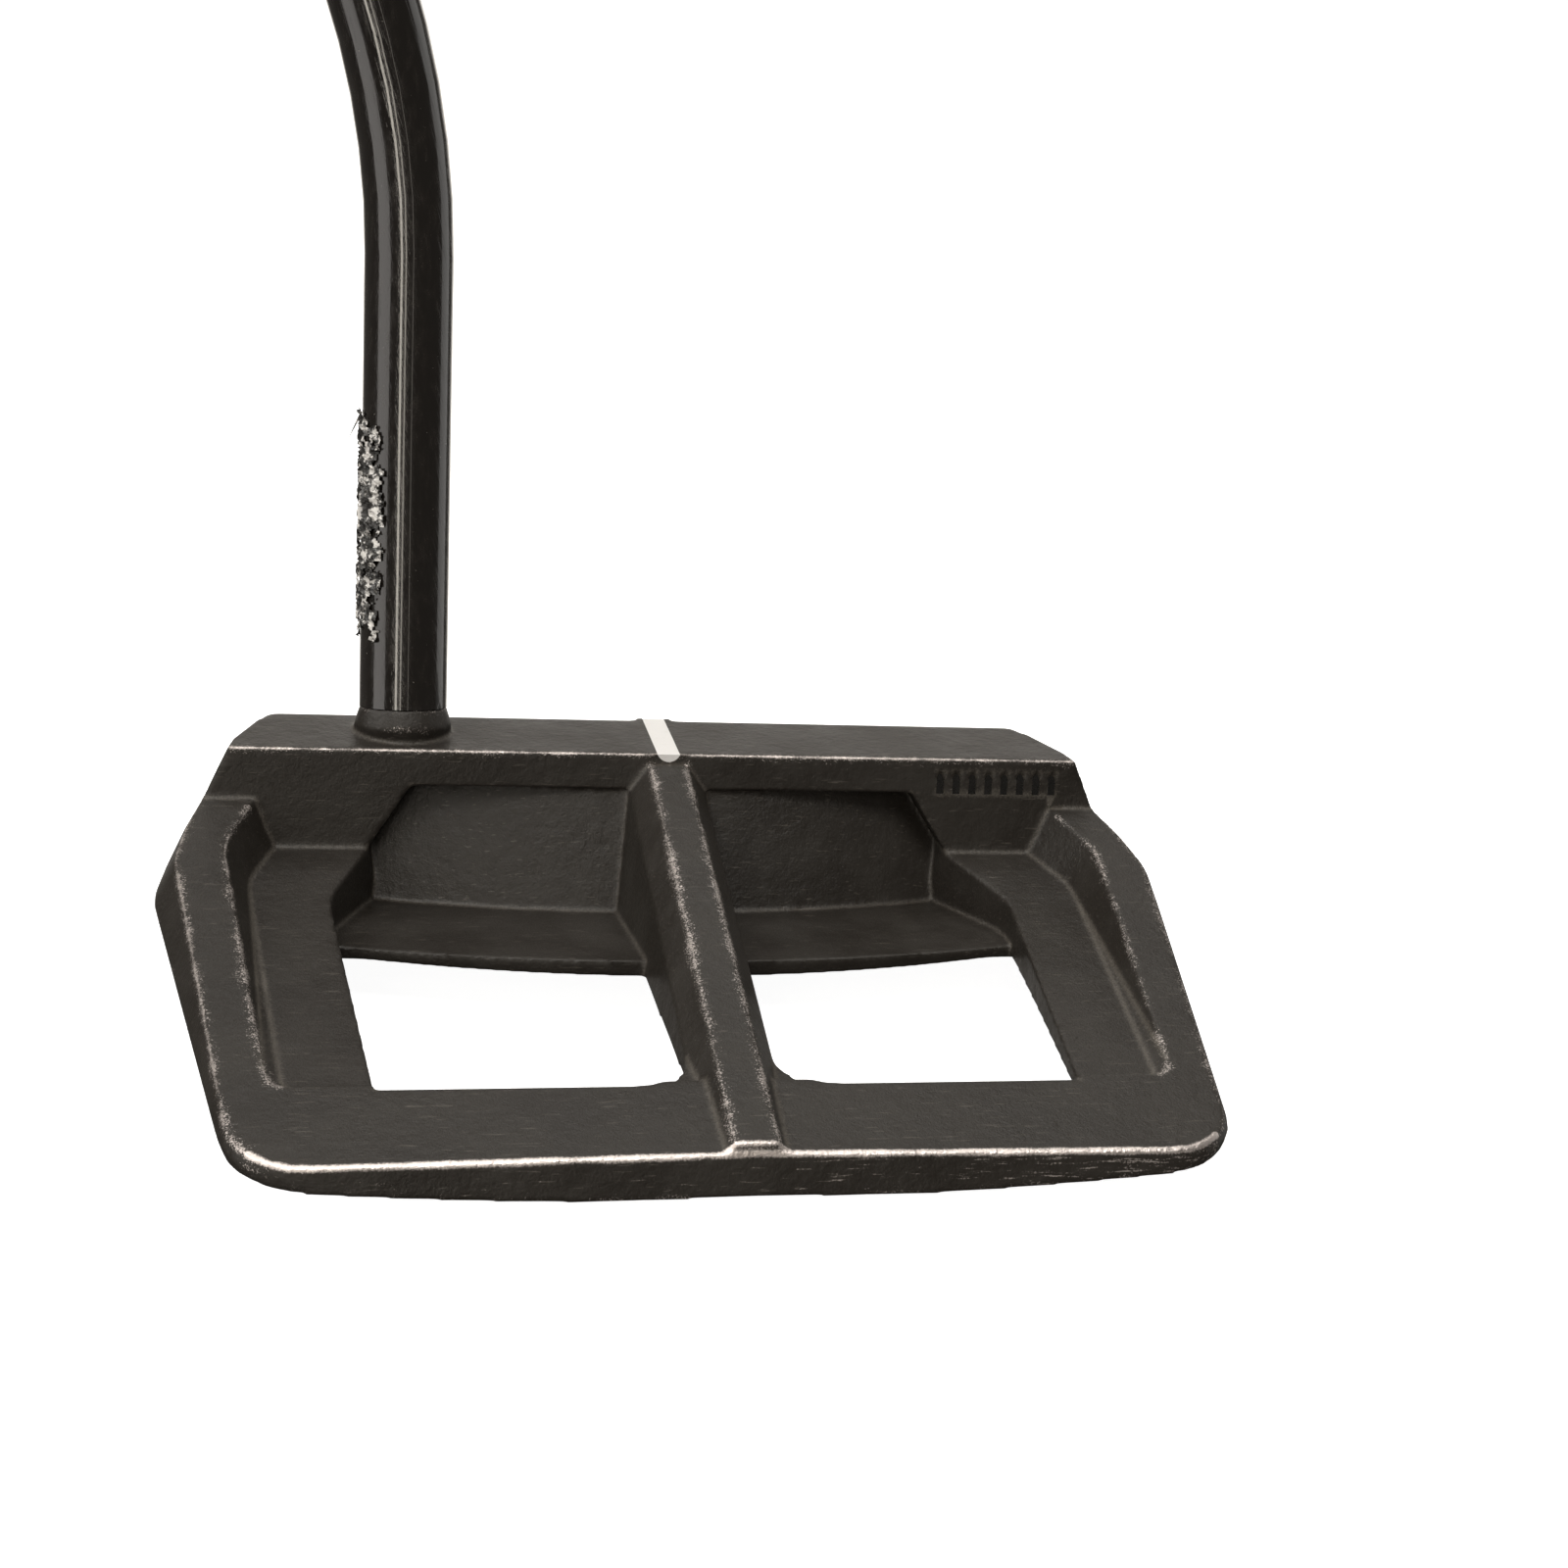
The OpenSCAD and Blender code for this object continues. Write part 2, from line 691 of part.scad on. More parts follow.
module grip_mouth_ring() {
    color([0.10, 0.10, 0.11]) on_upper_shaft(upper_l) difference() {
        translate([0, 0, -grip_l]) cylinder(h = ring_l, d1 = grip_mouth_w - 1.6, d2 = grip_mouth_w);
        butt_hole(taped_d, grip_l);
    }
}

module grip_cap() {
    color([0.10, 0.10, 0.11]) on_upper_shaft(upper_l) difference() {
        union() {
            cylinder(h = cap_flange_t - 1, d = grip_butt_w);
            translate([0, 0, cap_flange_t - 1])
                cylinder(h = 1, d1 = grip_butt_w, d2 = grip_butt_w - 2);
            translate([0, 0, -plug_l]) cylinder(h = plug_l + 1, d = bore_butt_d - 2 * plug_gap);
        }
        beyond_flat(0);
        translate([0, 0, cap_flange_t]) butt_hole(vent_d, plug_l + cap_flange_t);
    }
}

head_body();
face_cap();
face_backing();
sight_line_paint();
mark_paint();
hosel_epoxy();
shaft();
shaft_label_film();
grip_tape();
grip_core();
grip_skin();
grip_mouth_ring();
grip_cap();
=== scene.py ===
import math

import bmesh
import bpy
from mathutils import Matrix, Vector, bvhtree, kdtree, noise


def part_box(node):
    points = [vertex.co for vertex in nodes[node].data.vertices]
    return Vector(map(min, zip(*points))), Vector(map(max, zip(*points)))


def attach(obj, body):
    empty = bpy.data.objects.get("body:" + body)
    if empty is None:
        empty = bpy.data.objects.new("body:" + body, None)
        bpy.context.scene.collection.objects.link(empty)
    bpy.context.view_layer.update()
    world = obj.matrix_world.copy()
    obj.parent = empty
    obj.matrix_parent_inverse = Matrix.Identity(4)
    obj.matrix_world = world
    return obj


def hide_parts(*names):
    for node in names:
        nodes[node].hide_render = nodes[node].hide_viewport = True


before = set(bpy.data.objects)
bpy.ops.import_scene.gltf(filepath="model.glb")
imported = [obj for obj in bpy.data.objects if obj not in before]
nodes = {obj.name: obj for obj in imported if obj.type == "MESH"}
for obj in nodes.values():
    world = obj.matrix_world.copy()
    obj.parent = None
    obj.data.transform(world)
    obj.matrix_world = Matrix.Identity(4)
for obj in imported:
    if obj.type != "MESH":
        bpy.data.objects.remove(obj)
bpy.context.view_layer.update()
mm = 0.001

# ---- Head casting ----------------------------------------------------------
# The mallet head is one steel casting: a bar behind the face, two rails, a rear
# flange and a sighting rib. It is bead-blasted and finished in a satin black,
# which handling has rubbed off the outer edges down to pale bare steel.

topline_h = 21.35 * mm       # height of the strip that the player looks down on
head_cell = 0.27 * mm        # size of the fine mesh that is smoothed
head_share = 0.30            # share of its triangles that the finished mesh keeps
edge_angle = math.radians(22)
crisp_angle = math.radians(38)
longest_side = 1.6 * mm      # a triangle's side that is longer than this is halved
halvings = 4
remesh_depth = 9

# Heights of the tops level with the origin, and how much they rise going forwards
rail_h, rail_slope = 16.1 * mm, 0.18
floor_h, floor_slope = 10.95 * mm, 0.0845
rib_h, rib_slope = 20.25 * mm, 0.2364

# Where each edge of the casting lies
rear_edge_y = -57 * mm       # behind this is the rim of the rear flange
rib_end_y = -58 * mm         # behind this is the rib's rear end
front_edge_y = 9.5 * mm      # ahead of this is the front edge of the strip
rib_side_x = 5 * mm          # inside this is the rib
rail_x = 40 * mm             # outside this are the rails
rail_outer_x = 45.5 * mm     # outside this are the rails' outer edges
side_x = 50 * mm             # outside this are the head's sides
sole_z = 1.2 * mm            # below this is the edge of the sole
collar_z = 23 * mm           # above this is the collar


def merged_copy(node):
    """A bmesh of a CAD node's mesh with its loose triangles joined up."""
    bm = bmesh.new()
    bm.from_mesh(nodes[node].data)
    bmesh.ops.remove_doubles(bm, verts=bm.verts, dist=1e-7)
    return bm


def piece(name, bm, material, smooth=True):
    """Makes a finished bmesh an object that rides on the club."""
    mesh = bpy.data.meshes.new(name)
    for face in bm.faces:
        face.smooth = smooth
    for edge in bm.edges:
        edge.smooth = not edge.is_manifold or edge.calc_face_angle() < crisp_angle
    bm.to_mesh(mesh)
    bm.free()
    mesh.materials.append(material)
    made = bpy.data.objects.new(name, mesh)
    bpy.context.scene.collection.objects.link(made)
    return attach(made, "root")


def rubbed(p):
    """How strongly handling has rubbed an outside edge at p, from 0 to about 1."""
    rail_top = rail_h + rail_slope * p.y
    floor_top = floor_h + floor_slope * p.y
    rib_top = rib_h + rib_slope * p.y
    toe = p.x > 0
    if p.z > collar_z:
        return 0.5
    if p.z < sole_z:
        return 0.45
    if p.z > topline_h - 0.1 * mm:
        return 0.86 if p.y < 0.5 * mm else 0.2
    if abs(p.x) < rib_side_x and abs(p.z - rib_top) < 0.3 * mm:
        return 1.15 if p.y < rib_end_y else 0.72
    if p.y < rear_edge_y and abs(p.z - max(rail_top, floor_top)) < 0.7 * mm:
        return 1.15
    if abs(p.x) > rail_x and abs(p.z - rail_top) < 0.25 * mm and p.y < -2 * mm:
        outer = abs(p.x) > rail_outer_x
        return (0.66 if toe else 0.78) if outer else (0.54 if toe else 0.66)
    if p.y < rear_edge_y or abs(p.x) > side_x:
        return 0.42
    return 0.12


def near_points(edges, step=0.25 * mm):
    """A search tree of points along the edges, and each point's rubbing."""
    points = []
    for edge in edges:
        a, b = (v.co for v in edge.verts)
        parts = max(1, round((b - a).length / step))
        points += [a.lerp(b, (i + 0.5) / parts) for i in range(parts)]
    tree = kdtree.KDTree(len(points))
    for i, p in enumerate(points):
        tree.insert(p, i)
    tree.balance()
    return tree, [rubbed(p) for p in points]


def modified(bm, kind, **settings):
    """The bmesh after one modifier with those settings."""
    mesh = bpy.data.meshes.new("work")
    bm.to_mesh(mesh)
    block = bpy.data.objects.new("work", mesh)
    bpy.context.scene.collection.objects.link(block)
    modifier = block.modifiers.new("work", kind)
    for name, value in settings.items():
        setattr(modifier, name, value)
    seen = block.evaluated_get(bpy.context.evaluated_depsgraph_get())
    bm.clear()
    bm.from_mesh(seen.to_mesh())
    bpy.data.objects.remove(block)
    return bm


def smoothed(bm, verts, times):
    """Moves the vertices towards their neighbours, that many times over."""
    for _ in range(times):
        bmesh.ops.smooth_vert(bm, verts=verts, factor=0.5, use_axis_x=True,
                              use_axis_y=True, use_axis_z=True)


head = merged_copy("head_body")
folded = [e for e in head.edges if e.is_manifold and e.calc_face_angle() > edge_angle]
outside, strengths = near_points([e for e in folded if e.calc_face_angle_signed() > 0])
inside, _ = near_points([e for e in folded if e.calc_face_angle_signed() < 0])
longest = max(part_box("head_body")[1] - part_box("head_body")[0])
head = modified(head, "REMESH", mode="SHARP", octree_depth=remesh_depth,
                scale=longest / (2 ** remesh_depth * head_cell),
                use_remove_disconnected=False)

# Outside edges are eased by about 0.3 mm, inside corners have small fillets, and
# the strip's front edge is rolled over further. The small cuts stay crisp.
edge_reach, edge_passes = 0.8 * mm, 6
fillet_reach, fillet_passes = 1.3 * mm, 12
roll_depth, roll_passes = 2 * mm, 24
marks_box = ((29.8 * mm, 45.2 * mm), (-2 * mm, 1.5 * mm), (15.5 * mm, 19.2 * mm))
groove_side, groove_floor = 1.9 * mm, 20.2 * mm
round_edges, fillets, front_roll = [], [], []
for v in head.verts:
    out_gap, in_gap = outside.find(v.co)[2], inside.find(v.co)[2]
    in_marks = all(low < at < high for at, (low, high) in zip(v.co, marks_box))
    in_groove = abs(v.co.x) < groove_side and v.co.z > groove_floor
    if in_groove or in_marks:
        continue
    if v.co.y > front_edge_y and topline_h - roll_depth < v.co.z < topline_h + 0.1 * mm:
        front_roll.append(v)
    if in_gap < min(fillet_reach, out_gap):
        fillets.append(v)
    elif out_gap < edge_reach:
        round_edges.append(v)
smoothed(head, front_roll, roll_passes)
smoothed(head, fillets, fillet_passes)
smoothed(head, round_edges, edge_passes)
head = modified(head, "DECIMATE", ratio=head_share)

# The sole stays flat on the ground, and long triangles are halved, so that the
# wear has points to follow all over the metal.
for v in head.verts:
    v.co.z = max(v.co.z, 0)
for _ in range(halvings):
    long = [e for e in head.edges if e.calc_length() > longest_side]
    bmesh.ops.subdivide_edges(head, edges=long, cuts=1)
    bmesh.ops.triangulate(head, faces=head.faces)

# Each point of the mesh knows how hard its nearest outside edge is rubbed, how many
# millimetres it is from that edge and from an inside corner, and how much the skirt
# of the rear flange is scuffed there, which is most at the toe.
skirt_y, skirt_top = -57.5 * mm, 5.3 * mm
toe_x = 45 * mm
layer = {name: head.verts.layers.float.new(name)
         for name in ("rubbing", "edge_gap", "corner_gap", "scuffed")}
for v in head.verts:
    _, nearest, gap = outside.find(v.co)
    v[layer["rubbing"]] = strengths[nearest]
    v[layer["edge_gap"]] = gap / mm
    v[layer["corner_gap"]] = inside.find(v.co)[2] / mm
    skirt = v.co.y < skirt_y and v.co.z < skirt_top
    v[layer["scuffed"]] = (0.4 + 0.6 * max(0, v.co.x) / toe_x) if skirt else 0.0


class Shader:
    """A node material, built one named step at a time."""

    def __init__(self, name, **values):
        self.material = bpy.data.materials.new(name)
        self.material.use_nodes = True
        self.tree = self.material.node_tree
        self.surface = self.tree.nodes["Principled BSDF"]
        for socket, value in values.items():
            self.surface.inputs[socket.replace("_", " ").title().replace("Ior", "IOR")
                                ].default_value = value
        self.object = self.node("TexCoord").outputs["Object"]

    def node(self, kind, **settings):
        made = self.tree.nodes.new("ShaderNode" + kind)
        for name, value in settings.items():
            setattr(made, name, value)
        return made

    def link(self, value, socket):
        if isinstance(value, bpy.types.NodeSocket):
            self.tree.links.new(value, socket)
        else:
            socket.default_value = value

    def noise(self, per_mm, detail=3, rough=0.55, stretch=(1, 1, 1), seed=0, tilt=0):
        """Noise with per_mm features to the millimetre, finer along stretch."""
        turned = self.node("VectorRotate", rotation_type="Y_AXIS")
        self.link(self.object, turned.inputs["Vector"])
        turned.inputs["Angle"].default_value = tilt
        place = self.node("Mapping")
        self.link(turned.outputs[0], place.inputs["Vector"])
        place.inputs["Scale"].default_value = [s / mm for s in stretch]
        place.inputs["Location"].default_value = (seed, 2 * seed, 3 * seed)
        made = self.node("TexNoise")
        self.link(place.outputs[0], made.inputs["Vector"])
        made.inputs["Scale"].default_value = per_mm
        made.inputs["Detail"].default_value = detail
        made.inputs["Roughness"].default_value = rough
        return made.outputs["Fac"]

    def attribute(self, name):
        return self.node("Attribute", attribute_name=name).outputs["Fac"]

    def ramp(self, value, low, high, to_low=0.0, to_high=1.0):
        """The value eased from to_low to to_high as it goes from low to high."""
        made = self.node("MapRange", interpolation_type="SMOOTHSTEP")
        for socket, v in zip(made.inputs, (value, low, high, to_low, to_high)):
            self.link(v, socket)
        return made.outputs[0]

    def math(self, operation, a, b=0.0):
        made = self.node("Math", operation=operation)
        self.link(a, made.inputs[0])
        self.link(b, made.inputs[1])
        return made.outputs[0]

    def mix(self, share, a, b):
        """Colour a turned to colour b by share."""
        made = self.node("Mix", data_type="RGBA")
        self.link(share, made.inputs[0])
        self.link(a, made.inputs[6])
        self.link(b, made.inputs[7])
        return made.outputs[2]

    def set(self, socket, value):
        self.link(value, self.surface.inputs[socket])

    def bump(self, height, depth, onto=None):
        """Raises the surface by height times depth metres."""
        made = self.node("Bump")
        made.inputs["Distance"].default_value = depth
        self.link(height, made.inputs["Height"])
        if onto is not None:
            self.link(onto, made.inputs["Normal"])
        return made.outputs[0]


satin_black = (0.0200, 0.0165, 0.0130, 1)
greyed_black = (0.0290, 0.0250, 0.0205, 1)
worn_steel = (0.88, 0.80, 0.76, 1)
# Pale colour for the random specks and hairlines, and for the painted highlight along inside
# corners and creases
pale_dust_and_sheen = (0.15, 0.135, 0.115, 1)

blasted = Shader("satin_black_casting", specular_ior_level=0.5)
grain = blasted.noise(4.0, detail=3, rough=0.6)
lumps = blasted.noise(0.3, detail=3, rough=0.6, seed=21)
mottle = blasted.noise(0.12, detail=4, seed=3)
patchy = blasted.noise(0.22, detail=2, seed=5)
fine = blasted.noise(5.5, detail=4, rough=0.7, seed=7)
rub = blasted.noise(1.1, detail=4, rough=0.6, seed=11)
scratch = blasted.noise(1.0, detail=2, stretch=(0.35, 4.0, 4.0), seed=17)

rubbing = blasted.attribute("rubbing")
edge_gap = blasted.attribute("edge_gap")
corner_gap = blasted.attribute("corner_gap")


def fading(start, gap, reach, *patterns):
    """A value that falls from start with the gap, roughened by (pattern, amount) pairs."""
    value = blasted.math("SUBTRACT", start, blasted.math("DIVIDE", gap, reach))
    for pattern, amount in patterns:
        value = blasted.math("ADD", value, blasted.math(
            "MULTIPLY", blasted.math("SUBTRACT", pattern, 0.5), amount))
    return value


# A bare line on the edge itself, and beside it specks that thin out over 2 mm
line = blasted.ramp(fading(rubbing, edge_gap, 0.62, (patchy, 0.5), (rub, 0.4), (fine, 0.8)),
                    0.34, 0.85)
most_specks = blasted.math("MINIMUM", rubbing, blasted.math("SUBTRACT", 1.4, rubbing))
halo = blasted.ramp(fading(most_specks, edge_gap, 1.7, (patchy, 1.0), (rub, 0.6), (fine, 2.8)),
                    0.52, 0.88, 0.0, 0.75)
scuffs = blasted.ramp(fading(0.55, blasted.math("SUBTRACT", 1.0, blasted.attribute("scuffed")),
                             2.0, (scratch, 1.6), (fine, 1.2)), 0.60, 0.85, 0.0, 0.4)
wear = blasted.math("MAXIMUM", line, blasted.math("MAXIMUM", halo, scuffs))

# Inside corners and creases are lightened towards pale colour: a painted highlight where their
# fillets would catch the light
corner_sheen = blasted.ramp(fading(1.0, corner_gap, 0.9, (fine, 1.6)), 0.4, 0.95, 0.0, 0.45)
crease_sheen = blasted.ramp(fading(0.75, corner_gap, 0.5, (patchy, 2.0), (fine, 1.0)),
                      0.35, 0.9, 0.0, 0.42)
specks = blasted.ramp(fine, 0.67, 0.75, 0.0, 0.4)
hairlines = blasted.ramp(scratch, 0.64, 0.71, 0.0, 0.35)
# The mottled satin black, with pale specks and hairlines and the painted corner highlight laid
# over it
finish_and_sheen = blasted.mix(blasted.ramp(mottle, 0.32, 0.68), satin_black, greyed_black)
for cover in (corner_sheen, crease_sheen, specks, hairlines):
    finish_and_sheen = blasted.mix(cover, finish_and_sheen, pale_dust_and_sheen)
blasted.set("Base Color", blasted.mix(wear, finish_and_sheen, worn_steel))
blasted.set("Metallic", wear)
blasted.set("Roughness", blasted.math("SUBTRACT", blasted.ramp(mottle, 0.3, 0.7, 0.40, 0.50),
                                      blasted.math("MULTIPLY", wear, 0.12)))
cast_skin = blasted.bump(lumps, 0.16 * mm)
blasted.set("Normal", blasted.bump(grain, 0.06 * mm, blasted.bump(rub, 0.08 * mm, cast_skin)))

head_casting = piece("head_casting", head, blasted.material)
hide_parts("head_body")


# ---- Face insert -----------------------------------------------------------
# A milled metal plate over a soft polymer layer, set into the front of the bar
# with a hair of clearance all round. The mill leaves shallow arcs on the plate.

def eased_copy(node, width):
    """A copy of a CAD node with its sharp edges rounded over."""
    bm = merged_copy(node)
    bmesh.ops.dissolve_limit(bm, angle_limit=0.002, verts=bm.verts, edges=bm.edges)
    sharp = [e for e in bm.edges if e.is_manifold and e.calc_face_angle() > edge_angle]
    bmesh.ops.bevel(bm, geom=sharp, offset=width, offset_type="OFFSET", segments=2,
                    profile=0.5, affect="EDGES", material=-1, clamp_overlap=True)
    return bm


plate_edge = 0.15 * mm       # width of the plate's eased edges
mill_centre = 60 * mm        # how far under the sole the mill's arcs have their centre
copper = (0.56, 0.33, 0.22, 1)
dull_copper = (0.44, 0.27, 0.19, 1)
polymer_black = (0.03, 0.03, 0.035, 1)
polymer_grey = (0.05, 0.05, 0.055, 1)

milled = Shader("milled_copper_face", metallic=1.0)
place = milled.node("Mapping")
milled.link(milled.object, place.inputs["Vector"])
place.inputs["Location"].default_value = (0.0, 0.0, mill_centre)
rings = milled.node("TexWave", wave_type="RINGS", rings_direction="Y")
milled.link(place.outputs[0], rings.inputs["Vector"])
rings.inputs["Scale"].default_value = 260
rings.inputs["Distortion"].default_value = 0.15
milled.set("Base Color", milled.mix(milled.ramp(milled.noise(0.15, seed=2), 0.3, 0.7),
                                    copper, dull_copper))
milled.set("Roughness", milled.ramp(milled.noise(0.8, seed=4), 0.3, 0.7, 0.30, 0.42))
milled.set("Normal", milled.bump(rings.outputs["Fac"], 0.08 * mm))
face_plate = piece("face_plate", eased_copy("face_cap", plate_edge), milled.material,
                   smooth=False)
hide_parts("face_cap")

polymer = Shader("face_polymer", subsurface_weight=0.1)
polymer.set("Base Color", polymer.mix(polymer.noise(0.3), polymer_black, polymer_grey))
polymer.set("Roughness", polymer.ramp(polymer.noise(1.2, seed=1), 0.3, 0.7, 0.5, 0.65))
nodes["face_backing"].data.materials[0] = polymer.material


# ---- Sight line and depth marks --------------------------------------------
# White enamel fills a groove across the strip, a little below its surface. The
# plain bars cut beside it on the rear wall are filled with gloss black enamel.

clean_white = (0.93, 0.92, 0.91, 1)
dirt = (0.50, 0.47, 0.43, 1)
ink_black = (0.006, 0.006, 0.006, 1)
warm_black = (0.014, 0.013, 0.012, 1)

enamel = Shader("white_enamel", coat_weight=0.3, coat_roughness=0.2)
grime = enamel.ramp(enamel.noise(1.4, detail=5, rough=0.7, seed=6), 0.56, 0.80, 0, 0.3)
enamel.set("Base Color", enamel.mix(grime, clean_white, dirt))
enamel.set("Roughness", enamel.ramp(grime, 0, 0.3, 0.35, 0.6))
enamel.set("Normal", enamel.bump(enamel.noise(1.0, seed=9), 0.04 * mm))
nodes["sight_line_paint"].data.materials[0] = enamel.material

gloss_black = Shader("black_enamel", coat_weight=0.6, coat_roughness=0.12)
gloss_black.set("Base Color", gloss_black.mix(gloss_black.noise(1.0), ink_black, warm_black))
gloss_black.set("Roughness", gloss_black.ramp(gloss_black.noise(2.0, seed=8),
                                              0.3, 0.7, 0.2, 0.35))
gloss_black.set("Normal", gloss_black.bump(gloss_black.noise(1.5, seed=3), 0.03 * mm))
nodes["mark_paint"].data.materials[0] = gloss_black.material


# ---- Shaft -----------------------------------------------------------------
# A steel tube glued over the head's peg, bent just above it, and stepped wider
# up to the grip. It is chromed and lacquered a deep gloss black.

lacquer_black = (0.010, 0.008, 0.0065, 1)
scuffed_black = (0.022, 0.018, 0.015, 1)
chipped_grey = (0.20, 0.19, 0.17, 1)
drawn_tilt = 0.349           # radians, so that the drawing marks follow the upper shaft

lacquer = Shader("black_lacquered_steel", metallic=0.0, coat_weight=1.0,
                 coat_roughness=0.04, coat_ior=1.6)
drawn = lacquer.noise(1.6, detail=3, rough=0.7, stretch=(1, 1, 0.03), seed=4,
                      tilt=drawn_tilt)
handling = lacquer.noise(1.1, detail=5, rough=0.7, stretch=(1, 1, 0.3), seed=4)
nicks = lacquer.ramp(lacquer.noise(2.2, detail=3, rough=0.6, seed=12), 0.72, 0.77)
lacquer.set("Base Color", lacquer.mix(
    nicks, lacquer.mix(lacquer.ramp(handling, 0.45, 0.75), lacquer_black, scuffed_black),
    chipped_grey))
lacquer.set("Roughness", lacquer.ramp(handling, 0.4, 0.7, 0.12, 0.30))
lacquer.set("Normal", lacquer.bump(drawn, 0.05 * mm))
nodes["shaft"].data.materials[0] = lacquer.material


# ---- Epoxy -----------------------------------------------------------------
# The glue that holds the shaft on the head: a thin sleeve of pale amber epoxy that
# fills the gap between the peg and the bore, and is hidden once the shaft is on.

amber = (0.55, 0.50, 0.38, 1)
dark_amber = (0.42, 0.38, 0.28, 1)

epoxy = Shader("epoxy", transmission_weight=0.2)
epoxy.set("Base Color", epoxy.mix(epoxy.noise(0.8), amber, dark_amber))
epoxy.set("Roughness", epoxy.ramp(epoxy.noise(1.5, seed=2), 0.3, 0.7, 0.3, 0.5))
nodes["hosel_epoxy"].data.materials[0] = epoxy.material


# ---- Label residue ---------------------------------------------------------
# What is left of a plain label that was peeled off the shaft: a thin glued film,
# black as the shaft where its white paper has gone, torn and wrinkled up.

film_t = 0.06 * mm
rows, columns = 120, 28      # of the grid that the film is torn from
tear_size, nibble_size = 1.6 * mm, 0.5 * mm
wrinkle_size = 0.9 * mm
tear_limit = 0.55            # film is gone where the tearing is above this
end_band, side_band = 0.1, 0.12      # shares of the film where an edge is eaten away
lift, wrinkle_lift = 0.05, 0.38      # millimetres that the film stands off the shaft
bare_film = (0.02, 0.019, 0.018, 1)
paper_white = (0.86, 0.84, 0.81, 1)

film = Shader("label_residue", coat_weight=0.5, coat_roughness=0.1)
papered = film.ramp(film.noise(0.55, detail=5, rough=0.7), 0.51, 0.56)
film.set("Base Color", film.mix(papered, bare_film, paper_white))
film.set("Roughness", film.ramp(film.noise(2, seed=2), 0.3, 0.7, 0.12, 0.4))
film.set("Normal", film.bump(film.noise(1.5, detail=4, seed=5), 0.25 * mm))

# The film follows the outer arc at the foot of the whole label, swept to its top
label = merged_copy("shaft_label_film")
tube = merged_copy("shaft")
skin = bvhtree.BVHTree.FromBMesh(tube)
low_to_high = sorted((v.co.copy() for v in label.verts), key=lambda p: p.z)
half = len(low_to_high) // 2
foot, top = low_to_high[:half], low_to_high[half:]
along = (sum(top, Vector()) - sum(foot, Vector())) / len(foot)
off_skin = max(skin.find_nearest(p)[3] for p in foot)
arc = sorted((p for p in foot if skin.find_nearest(p)[3] > 0.75 * off_skin),
             key=lambda p: p.y)
flakes = bmesh.new()
grid = {}
for i in range(rows + 1):
    for j in range(columns + 1):
        u, w = i / rows, j / columns
        at = w * (len(arc) - 1)
        k = min(int(at), len(arc) - 2)
        p = arc[k].lerp(arc[k + 1], at - k) + u * along
        torn = noise.noise(p / tear_size) + 0.6 * noise.noise(p / nibble_size)
        torn += (1.1 * max(0, abs(u - 0.5) - (0.5 - end_band)) / end_band
                 + 0.9 * max(0, side_band - w) / side_band)
        if torn > tear_limit:
            continue
        wrinkle = 1 - abs(noise.noise(p / wrinkle_size + Vector((7, 0, 0)))) * 2.2
        out = (p - skin.find_nearest(p)[0]).normalized()
        rise = lift + wrinkle_lift * max(0, wrinkle) ** 2
        grid[i, j] = flakes.verts.new(p + out * rise * mm)
for i, j in list(grid):
    corners = [grid.get(c) for c in ((i, j), (i + 1, j), (i + 1, j + 1), (i, j + 1))]
    if all(corners):
        flakes.faces.new(corners)
bmesh.ops.delete(flakes, geom=[v for v in flakes.verts if not v.link_faces], context="VERTS")
bmesh.ops.recalc_face_normals(flakes, faces=flakes.faces)
bmesh.ops.solidify(flakes, geom=flakes.faces, thickness=film_t)
label.free()
tube.free()
label_flakes = piece("label_flakes", flakes, film.material, smooth=False)
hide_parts("shaft_label_film")


# ---- Grip ------------------------------------------------------------------
# A pistol grip with a flat front: a foam core over double-sided tape, a thin
# moulded rubber skin, a ring at its mouth, and a plugged cap with an air hole.

rubber_black = (0.016, 0.016, 0.017, 1)
worn_rubber = (0.028, 0.027, 0.026, 1)
foam_dark = (0.06, 0.06, 0.065, 1)
foam_light = (0.09, 0.09, 0.1, 1)
tape_cream = (0.66, 0.62, 0.50, 1)
tape_tan = (0.58, 0.53, 0.42, 1)

rubber = Shader("moulded_rubber", sheen_weight=0.15)
dimples = rubber.node("TexVoronoi", feature="SMOOTH_F1")
rubber.link(rubber.object, dimples.inputs["Vector"])
dimples.inputs["Scale"].default_value = 520
rubber.set("Base Color", rubber.mix(rubber.ramp(rubber.noise(0.1, detail=4), 0.3, 0.7),
                                    rubber_black, worn_rubber))
rubber.set("Roughness", rubber.ramp(rubber.noise(0.6, seed=3), 0.3, 0.7, 0.55, 0.75))
rubber.set("Normal", rubber.bump(dimples.outputs["Distance"], 0.5 * mm))

foam = Shader("grip_foam")
foam.set("Base Color", foam.mix(foam.noise(2), foam_dark, foam_light))
foam.set("Roughness", foam.ramp(foam.noise(3, seed=1), 0.3, 0.7, 0.8, 0.95))
foam.set("Normal", foam.bump(foam.noise(2.5, seed=2), 0.1 * mm))

tape = Shader("grip_tape")
tape.set("Base Color", tape.mix(tape.noise(0.4), tape_cream, tape_tan))
tape.set("Roughness", tape.ramp(tape.noise(1, seed=1), 0.3, 0.7, 0.6, 0.8))
tape.set("Normal", tape.bump(tape.noise(1.4, detail=5), 0.05 * mm))

for node, shader, slot in (("grip_skin", rubber, "grip_rubber"),
                           ("grip_mouth_ring", rubber, "grip_rubber"),
                           ("grip_cap", rubber, "grip_rubber"),
                           ("grip_core", foam, "grip_foam"),
                           ("grip_tape", tape, "tape")):
    nodes[node].data.materials[0] = shader.material


